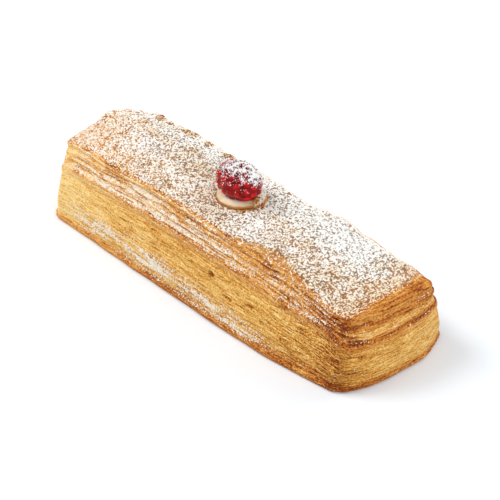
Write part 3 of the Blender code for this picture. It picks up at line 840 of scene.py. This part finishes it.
def berry_skin(directions):
    """Distance of the berry's skin from its middle, in each direction: the furthest drupelet or flesh."""
    centres = np.array(list(drupelet_centres()))
    toward = directions @ centres.T
    inside = DRUPELET_RADIUS**2 - (centres**2).sum(axis=1) + toward**2
    far = np.where(inside > 0, toward + np.sqrt(np.maximum(inside, 0)), 0)
    flesh = ellipsoid(directions, np.array(BERRY_HALF) - BERRY_FLESH)
    reach = np.concatenate([far, flesh[:, None]], axis=1)
    peak = reach.max(axis=1)
    soft = peak + np.log(np.exp((reach - peak[:, None]) * BERRY_CREASE).sum(axis=1)) / BERRY_CREASE
    x, y, z = (directions * peak[:, None]).T
    soft = np.minimum(soft, peak + BERRY_FILLET)
    soft += BERRY_DIMPLE * flecks(x, y, z, DIMPLE_SPACING, DIMPLE_SPACING, 62)
    down = np.minimum(directions[:, 2], -1e-6)
    return np.where(directions[:, 2] < 0, np.minimum(soft, BERRY_FOOT / down), soft)


def make_raspberry():
    ball, faces = unit_ball(BERRY_FINENESS)
    directions = ball * BERRY_HALF
    directions /= np.linalg.norm(directions, axis=1, keepdims=True)
    points = directions * berry_skin(directions)[:, None]
    quads = np.concatenate([faces, faces[:, 2:]], axis=1)
    # the powder fell from above, and lies thickest on the berry's far right
    x, y, z = points.T
    high = z / BERRY_HALF[2]
    lean = rise(0.6 * x + 0.6 * y + 0.5 * z, 0, 0.008)
    dust = 0.12 + 0.24 * rise(high, 0, 0.95) + 0.2 * lean + 0.2 * flecks(x, y, z, 0.002, 0.002, 61)
    facing = rise(point_normals(points, quads)[:, 2], -0.2, 0.45)
    dust = np.clip(dust, 0, 1) * facing * rise(high, -0.6, 0.1)
    # how far the skin lies in the creases between drupelets, for their painted shade
    deep = rise(ellipsoid(directions, BERRY_HALF) - np.linalg.norm(points, axis=1), 0.0002, 0.00036)
    points += on_spot(*BERRY_SHIFT, BERRY_MIDDLE)
    return make_mesh("raspberry_skin", points, faces.tolist(), dust=dust, deep=deep), points, quads, dust


ICING_ROOM = -0.00032  # the dressed berry sinks into the icing by this much
ICING_STEPS = 160  # points round it
RINGS_INSIDE, RINGS_OUTSIDE = 12, 22  # from its middle to the brim, and from the brim to its foot
ICING_UNDER = -0.0002  # height of its underside


def icing_dome(radius):
    share = np.maximum(1 - (radius / ICING_RADIUS) ** ICING_ROUNDNESS, 0) ** (1 / ICING_ROUNDNESS)
    return mix(ICING_FOOT, ICING_HEIGHT, share)


def icing_dish(x, y):
    """Height of the hollow that the berry lies in, and a great height outside it."""
    dx, dy = ((at - off) / (half + ICING_ROOM) for at, off, half in zip((x, y), BERRY_SHIFT, BERRY_HALF))
    across = dx**2 + dy**2
    low = BERRY_MIDDLE - GAP - (BERRY_HALF[2] + ICING_ROOM) * np.sqrt(np.maximum(1 - across, 0))
    return np.where(across < 1, np.maximum(low, ICING_FLOOR), 1)


def icing_brim(cx, cy):
    """Distance from the icing's middle to the brim of the hollow, in each direction."""
    inner, outer = np.zeros_like(cx), np.full_like(cx, ICING_RADIUS)
    for _ in range(30):
        radius = (inner + outer) / 2
        under = icing_dish(radius * cx, radius * cy) < icing_dome(radius)
        inner, outer = np.where(under, radius, inner), np.where(under, outer, radius)
    return inner


def make_icing():
    """The spot of icing: its dome outside the brim and its hollow inside, made a little uneven."""
    angle = np.linspace(0, 2 * math.pi, ICING_STEPS, endpoint=False)
    cx, cy = np.cos(angle), np.sin(angle)
    brim = icing_brim(cx, cy)
    rings = []
    for radius in brim * np.linspace(0.15, 0.985, RINGS_INSIDE)[:, None]:
        rings.append((radius, icing_dish(radius * cx, radius * cy)))
    for share in np.sin(np.linspace(0, math.pi / 2, RINGS_OUTSIDE)):
        radius = mix(brim, ICING_RADIUS, share)
        swell = 0.00016 * blobs(3 * cx, 3 * cy, share * 2, 73) + 0.0001 * blobs(7 * cx, 7 * cy, share * 4, 74)
        rings.append((radius, icing_dome(radius) + swell * math.sin(math.pi * min(share + 0.15, 1))))
    under = ((ICING_RADIUS - 0.0001, ICING_UNDER), (0.4 * ICING_RADIUS, ICING_UNDER))
    for ring in ((ICING_RADIUS + 0.00004, ICING_FOOT / 2), *under):
        rings.append([np.full_like(angle, size) for size in ring])
    r, z = (np.array(part) for part in zip(*rings))
    uneven = 0.0003 * blobs(2.2 * cx, 2.2 * cy, 0.5, 71) + 0.00014 * blobs(6 * cx, 6 * cy, 0.5, 72)
    r += uneven * rise(r, 0.0078, ICING_RADIUS)
    rim = np.stack([r * cx, r * cy, z], -1).reshape(-1, 3)
    points = np.concatenate([rim, [[0, 0, ICING_FLOOR], [0, 0, ICING_UNDER]]])
    quads = grid_faces(len(rings), ICING_STEPS, wrap=True)[:, ::-1]
    last, hub = len(rim) - ICING_STEPS, len(rim)
    pairs = [(k, (k + 1) % ICING_STEPS) for k in range(ICING_STEPS)]
    fans = [(hub, a, b) for a, b in pairs] + [(hub + 1, last + b, last + a) for a, b in pairs]
    x, y, z = points.T
    # tan low on the icing, partly where it melts into the crust and partly painted shade, and on its right as
    # the berry's painted shadow
    melt = 1.05 - rise(z, 0.0005, 0.0023) + 0.35 * rise(x + 0.4 * y, 0.0045, 0.0095)
    points += on_spot(0, 0, GAP)
    x, y, _ = points.T
    sugared = rise(x + 0.9 * (y - DOLLOP_Y), DOLLOP_X + 0.006, DOLLOP_X + 0.01) * (from_dollop(x, y) > 0.005)
    return make_mesh("icing_spot", points, quads.tolist() + fans, melt=melt), points, quads, sugared


CRUMBS = 72
CRUMB_SEED = 7
CRUMB_SIZES = (0.00022, 0.00058)  # least and greatest radius
CRUMB_FINENESS = 2
CRUMBS_AT = ((0.0092, 0.003), 0.0012)  # where most lie, at the foot of the icing, and how far astray
CRUMBS_TOO = ((0.0081, -0.0036), 0.0005)  # and where the rest do


def make_crumbs():
    """Toasted crumbs of the crust, strewn at the icing's foot."""
    drawn = np.random.default_rng(CRUMB_SEED)
    ball, faces = unit_ball(CRUMB_FINENESS)
    points, tints = [], []
    for k in range(CRUMBS):
        middle, astray = CRUMBS_AT if k % 8 else CRUMBS_TOO
        x, y = (at + drawn.normal(0, astray) for at in middle)
        size = mix(*CRUMB_SIZES, drawn.random() ** 1.5)
        turn = np.linalg.qr(drawn.normal(size=(3, 3)))[0]
        turn *= np.sign(np.linalg.det(turn))
        ragged = 1 + 0.35 * blobs(*(ball.T * 1.7 + 10 * k), 97)
        shape = (ball * ragged[:, None] * drawn.uniform(0.6, 1.2, 3)) @ turn * size
        if from_dollop(x, y) < ICING_RADIUS:
            z = SPOT_HEIGHT + GAP + icing_dome(from_dollop(x, y))
        else:
            z = top_height(*np.array([[x / TOP_LONG], [y / TOP_WIDE], [x], [y]]))[0]
        points.append(shape + (x, y, z + 0.5 * size) + CENTRING)
        tints.append(np.full(len(ball), drawn.random()))
    all_faces = np.concatenate([faces + k * len(ball) for k in range(CRUMBS)])
    return make_mesh("toasted_crumbs", np.concatenate(points), all_faces.tolist(), tint=np.concatenate(tints))


# ---------------------------------------------------------------- materials
def linear(colour):
    """An sRGB colour as the linear colour that shaders take."""
    return (*[((c + 0.055) / 1.055) ** 2.4 if c > 0.04045 else c / 12.92 for c in colour], 1)


class Shader:
    """A Principled material, and short ways to add nodes to it."""

    def __init__(self, name, **settings):
        self.material = bpy.data.materials.new(name)
        self.material.use_nodes = True
        self.tree = self.material.node_tree
        self.surface = self.fill(self.tree.nodes["Principled BSDF"], **settings)
        self.place = self.node("ShaderNodeNewGeometry").outputs["Position"]

    def link(self, source, socket):
        if isinstance(source, (int, float, tuple)):
            socket.default_value = source
        else:
            self.tree.links.new(source, socket)

    def fill(self, node, **sources):
        """Link or set a node's sockets by their names."""
        for key, source in sources.items():
            self.link(source, node.inputs[key.replace("_", " ")])
        return node

    def node(self, kind, *sources, **settings):
        """A node with its settings, and what goes into its first sockets."""
        made = self.tree.nodes.new(kind)
        for key, value in settings.items():
            setattr(made, key, value)
        for source, socket in zip(sources, made.inputs):
            self.link(source, socket)
        return made

    def value(self, name):
        """The number that a mesh holds at its points under a name."""
        return self.node("ShaderNodeAttribute", attribute_name=name).outputs["Fac"]

    def times(self, a, b):
        return self.node("ShaderNodeMath", a, b, operation="MULTIPLY").outputs[0]

    def add(self, total, *terms):
        for term in terms:
            total = self.node("ShaderNodeMath", total, term, operation="ADD").outputs[0]
        return total

    def remap(self, value, low, high, to_low=0, to_high=1, kind="SMOOTHSTEP"):
        given = (value, low, high, to_low, to_high)
        return self.node("ShaderNodeMapRange", *given, interpolation_type=kind).outputs[0]

    def noise(self, vector, scale, detail=2, roughness=0.5):
        made = self.node("ShaderNodeTexNoise")
        self.fill(made, Vector=vector, Scale=scale, Detail=detail, Roughness=roughness)
        return made.outputs["Fac"]

    def streaks(self, vector, wide, tall, detail=1, roughness=0.5):
        """Noise with so many features to a metre along the layers, and across them."""
        scaled = self.node("ShaderNodeVectorMath", vector, (wide, wide, tall), operation="MULTIPLY")
        return self.noise(scaled.outputs[0], 1, detail, roughness)

    def centred(self, value, amount):
        """Noise moved to run from -amount / 2 to amount / 2."""
        return self.times(self.add(value, -0.5), amount)

    def mix(self, share, *colours):
        """From one colour to another, each an sRGB colour or an output."""
        made = self.fill(self.node("ShaderNodeMix", data_type="RGBA"), Factor=share)
        for colour, socket in zip(colours, made.inputs[6:]):
            self.link(linear(colour) if isinstance(colour, tuple) else colour, socket)
        return made.outputs[2]

    def ramp(self, value, places, colours):
        made = self.node("ShaderNodeValToRGB", value)
        ramp = made.color_ramp
        while len(ramp.elements) < len(places):
            ramp.elements.new(0.5)
        for element, place, colour in zip(ramp.elements, places, colours):
            element.position = place
            element.color = linear(colour)
        return made.outputs["Color"]

    def speckle(self, dust, fineness):
        """Where powder covers the surface, from how thickly it lies: specks that close up as it thickens."""
        fine = self.noise(self.place, fineness, 1)
        clumps = self.noise(self.place, fineness * 0.42, 1)
        threshold = self.remap(dust, 0, 1, 0.72, 0.33, "LINEAR")
        low, high = self.add(threshold, -0.02), self.add(threshold, 0.03)
        return self.remap(self.add(self.times(fine, 0.72), self.times(clumps, 0.28)), low, high)

    def finish(self, colour, height, distance, strength):
        """Colour the surface, and roughen it by a height."""
        bump = self.fill(self.node("ShaderNodeBump"), Distance=distance, Strength=strength, Height=height)
        self.fill(self.surface, Base_Color=colour, Normal=bump.outputs["Normal"])
        return self.material


SUGAR_THIN, SUGAR_WHITE = (0.955, 0.875, 0.75), (0.975, 0.97, 0.955)
SUGAR_ON_CRUST = (0.985, 0.925, 0.835)
# Colours of the crust from pale to nearly burnt: of the lower block, and of the ruddier leaves
TONES = (0, 0.2, 0.4, 0.6, 0.8, 1)
BLOCK = (
    (0.97, 0.85, 0.6), (0.945, 0.78, 0.475), (0.885, 0.668, 0.332), (0.79, 0.54, 0.215), (0.66, 0.415, 0.14),
    (0.43, 0.22, 0.05),
)
LEAVES = (
    (0.97, 0.82, 0.56), (0.92, 0.715, 0.41), (0.85, 0.6, 0.285), (0.765, 0.48, 0.185), (0.66, 0.355, 0.095),
    (0.46, 0.19, 0.04),
)


def crust_material():
    shader = Shader("baked_crust", Roughness=0.62, Specular_IOR_Level=0.15)
    value, times, centred = shader.value, shader.times, shader.centred
    split = shader.node("ShaderNodeSeparateXYZ", shader.place).outputs
    lay = shader.node("ShaderNodeCombineXYZ", split[0], split[1], value("level")).outputs[0]
    # along the layers: broad and fine streaks, and short dark dashes where air got in
    lines = shader.streaks(lay, 130, 2300)
    crumb = shader.streaks(lay, 1300, 2400, 1.5, 0.6)
    broad = shader.streaks(lay, 90, 420)
    dash = shader.remap(shader.streaks(lay, 420, 1900), 0.6, 0.68)
    grain = shader.add(centred(lines, 1.15), centred(crumb, 1.4), times(dash, 0.16))
    tone = shader.add(value("brown"), times(grain, value("contrast")), centred(broad, 0.1))
    crust = shader.mix(value("ruddy"), shader.ramp(tone, TONES, BLOCK), shader.ramp(tone, TONES, LEAVES))
    # among the sugar the crust is painted greyer: painted shade between the sugar's lumps, over a haze of fine
    # powder
    grey = shader.mix(value("grey_shade_and_haze"), (0.54, 0.455, 0.36), (0.6, 0.58, 0.56))
    crust = shader.mix(times(value("gap_shade_and_haze"), 0.8), crust, grey)
    powder = shader.speckle(value("dust"), 1000)
    height = shader.add(times(lines, 0.8), times(crumb, 0.8), times(powder, 0.6), times(dash, -0.6))
    return shader.finish(shader.mix(powder, crust, SUGAR_ON_CRUST), height, 0.0003, 0.8)


def sugar_material():
    shader = Shader("icing_sugar", Roughness=0.85, Specular_IOR_Level=0.3)
    shader.fill(shader.surface, Base_Color=shader.mix(shader.value("thick"), SUGAR_THIN, SUGAR_WHITE))
    return shader.material


def icing_material():
    shader = Shader(
        "cream_icing", Roughness=0.38, Coat_Weight=0.25, Coat_Roughness=0.2,
        Subsurface_Weight=0.35, Subsurface_Radius=(0.0016, 0.0011, 0.0006), Subsurface_Scale=1,
    )
    cloud = shader.noise(shader.place, 500)
    # cream to tan where the icing melts and where painted shade and the berry's painted shadow fall
    melted = shader.add(shader.value("melt"), shader.centred(cloud, 0.5))
    colours = ((0.93, 0.87, 0.79), (0.9, 0.82, 0.68), (0.8, 0.64, 0.43), (0.7, 0.48, 0.25))
    return shader.finish(shader.ramp(melted, (0, 0.4, 0.8, 1), colours), cloud, 0.0001, 0.4)


def berry_material():
    shader = Shader("raspberry_skin", Roughness=0.2, IOR=1.33, Specular_IOR_Level=0.4)
    dust = shader.value("dust")
    reds = ((0.54, 0, 0.015), (0.72, 0.015, 0.04), (0.88, 0.09, 0.12))
    skin = shader.ramp(shader.noise(shader.place, 420), (0.34, 0.5, 0.66), reds)
    # the creases between drupelets are painted darker, as painted shade
    skin = shader.mix(shader.times(shader.value("deep"), 0.7), skin, (0.38, 0, 0.03))
    # where the powder lies, the skin between its specks is painted darker and purpler, as painted shade
    skin = shader.mix(shader.remap(dust, 0.22, 0.48, 0, 0.75), skin, (0.3, 0.04, 0.12))
    powder = shader.speckle(dust, 820)
    # thin powder is pink, partly damp sugar and partly painted highlight; thick powder is white
    damp_sugar_and_highlight = shader.mix(shader.remap(dust, 0.15, 0.45), (0.95, 0.7, 0.73), (0.975, 0.955, 0.965))
    shader.fill(shader.surface, Roughness=shader.remap(powder, 0, 1, 0.14, 0.85))
    return shader.finish(shader.mix(powder, skin, damp_sugar_and_highlight), powder, 0.0002, 0.5)


def crumb_material():
    shader = Shader("toasted_crumb", Roughness=0.6, Specular_IOR_Level=0.2)
    tone = shader.add(shader.value("tint"), shader.centred(shader.noise(shader.place, 2500), 0.8))
    browns = ((0.9, 0.66, 0.36), (0.74, 0.44, 0.16), (0.46, 0.22, 0.07))
    shader.fill(shader.surface, Base_Color=shader.ramp(tone, (0, 0.5, 1), browns))
    return shader.material


def dress(piece, material, slot, *nodes):
    piece.data.materials.append(material)
    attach(piece, "root")
    if nodes:
        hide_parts(*nodes)


def make_object():
    top, wall = crust_pieces()
    count = wall.level.size
    normals = point_normals(wall.points, wall.quads)[:count]
    dust = dust_on_wall(wall.points[:count], normals, wall.level, wall.crack)
    wall.numbers["dust"] = dust
    baked = crust_material()
    for name, piece in (("crust", wall), ("crust_top", top)):
        made = piece.make(name)
        made.data.set_sharp_from_angle(angle=SHARP_ANGLE)
        dress(made, baked, "crust", "pastry")

    sugar = sugar_material()
    sheet, points, quads, heap, cover = make_sugar_sheet()
    dress(sheet, sugar, "crust")
    heaped = rise(heap, -SUGAR_SINK, SUGAR_THICK) * rise(cover, 0.02, 0.3) + 0.02 * (cover > 0.05)
    whiter = rise(cover, 0.28, 0.54)
    dress(scatter("sugar_grains", points, quads, heaped, whiter, 20000, 0.0001, 0.00026, 101), sugar, "crust")
    fallen = np.concatenate([dust, np.zeros(len(wall.points) - count)])
    surface = (wall.points, wall.quads, fallen**1.6, 0.2 + 0.8 * fallen)
    dress(scatter("sugar_on_sides", *surface, 12000, 0.00012, 0.00032, 102), sugar, "crust")
    icing, *surface = make_icing()
    dress(icing, icing_material(), "icing", "icing")
    dress(scatter("sugar_on_icing", *surface, surface[-1], 900, 0.00012, 0.0003, 104), sugar, "icing")
    dress(make_crumbs(), crumb_material(), "crust")
    berry, points, quads, dust = make_raspberry()
    dress(berry, berry_material(), "berry", "raspberry")
    surface = (points, quads, 0.002 + dust**2, 0.6 + dust)
    dress(scatter("sugar_on_berry", *surface, 1300, 0.00014, 0.00034, 103), sugar, "berry")


# ---------------------------------------------------------------- camera, floor and light
CAMERA_AZIMUTH = math.radians(46.1)  # from the front side towards the near end
CAMERA_ELEVATION = math.radians(34.5)
CAMERA_DISTANCE = 0.7133
CAMERA_AIM = (-0.0068, 0.0135, 0)
FOCAL_PIXELS = 1850  # focal length in pixels of a 500-pixel picture
PICTURE_PIXELS = 500
SENSOR_MM = 36


def make_camera():
    lens = bpy.data.cameras.new("camera")
    lens.sensor_width = SENSOR_MM
    lens.lens = SENSOR_MM * FOCAL_PIXELS / PICTURE_PIXELS
    lens.clip_start = 0.01
    level = math.cos(CAMERA_ELEVATION)
    side, front = math.sin(CAMERA_AZIMUTH) * level, -math.cos(CAMERA_AZIMUTH) * level
    back = Vector((side, front, math.sin(CAMERA_ELEVATION)))
    camera = add_object("camera", lens)
    camera.location = Vector(CAMERA_AIM) + back * CAMERA_DISTANCE
    camera.rotation_euler = back.to_track_quat("Z", "Y").to_euler()
    bpy.context.scene.camera = camera


def add_light(name, place, size, watts, colour=(1, 1, 1)):
    """A square area light at a place, facing the bar."""
    lamp = bpy.data.lights.new(name, "AREA")
    lamp.shape = "SQUARE"
    lamp.size = size
    lamp.energy = watts
    lamp.color = colour
    made = add_object(name, lamp)
    made.location = place
    made.rotation_euler = Vector(place).to_track_quat("Z", "Y").to_euler()


FLOOR_HALF = 3
FLOOR_DROP = 0.0002  # the floor lies this far under the bar


def make_studio():
    mesh = bpy.data.meshes.new("floor")
    signs = ((-1, -1), (1, -1), (1, 1), (-1, 1))
    mesh.from_pydata([(i * FLOOR_HALF, j * FLOOR_HALF, 0) for i, j in signs], [], [(0, 1, 2, 3)])
    floor = add_object("floor", mesh)
    floor.location.z = -FLOOR_DROP
    white = (0.895, 0.925, 0.955, 1)
    shader = Shader("floor_white", Roughness=0.9, Base_Color=white, Specular_IOR_Level=0.1)
    mesh.materials.append(shader.material)
    world = bpy.data.worlds.new("studio")
    world.use_nodes = True
    background = world.node_tree.nodes["Background"]
    background.inputs["Color"].default_value = (0.92, 0.96, 1, 1)
    background.inputs["Strength"].default_value = 0.56
    bpy.context.scene.world = world
    add_light("key", (-0.60, -0.31, 0.82), 0.55, 6.8, (1, 0.985, 0.96))
    add_light("fill", (0.90, -0.20, 0.50), 0.60, 3.6)
    add_light("back", (0.10, 0.80, 0.60), 0.60, 2.4)
    bpy.context.scene.view_settings.view_transform = "Standard"


make_camera()
make_studio()
make_object()
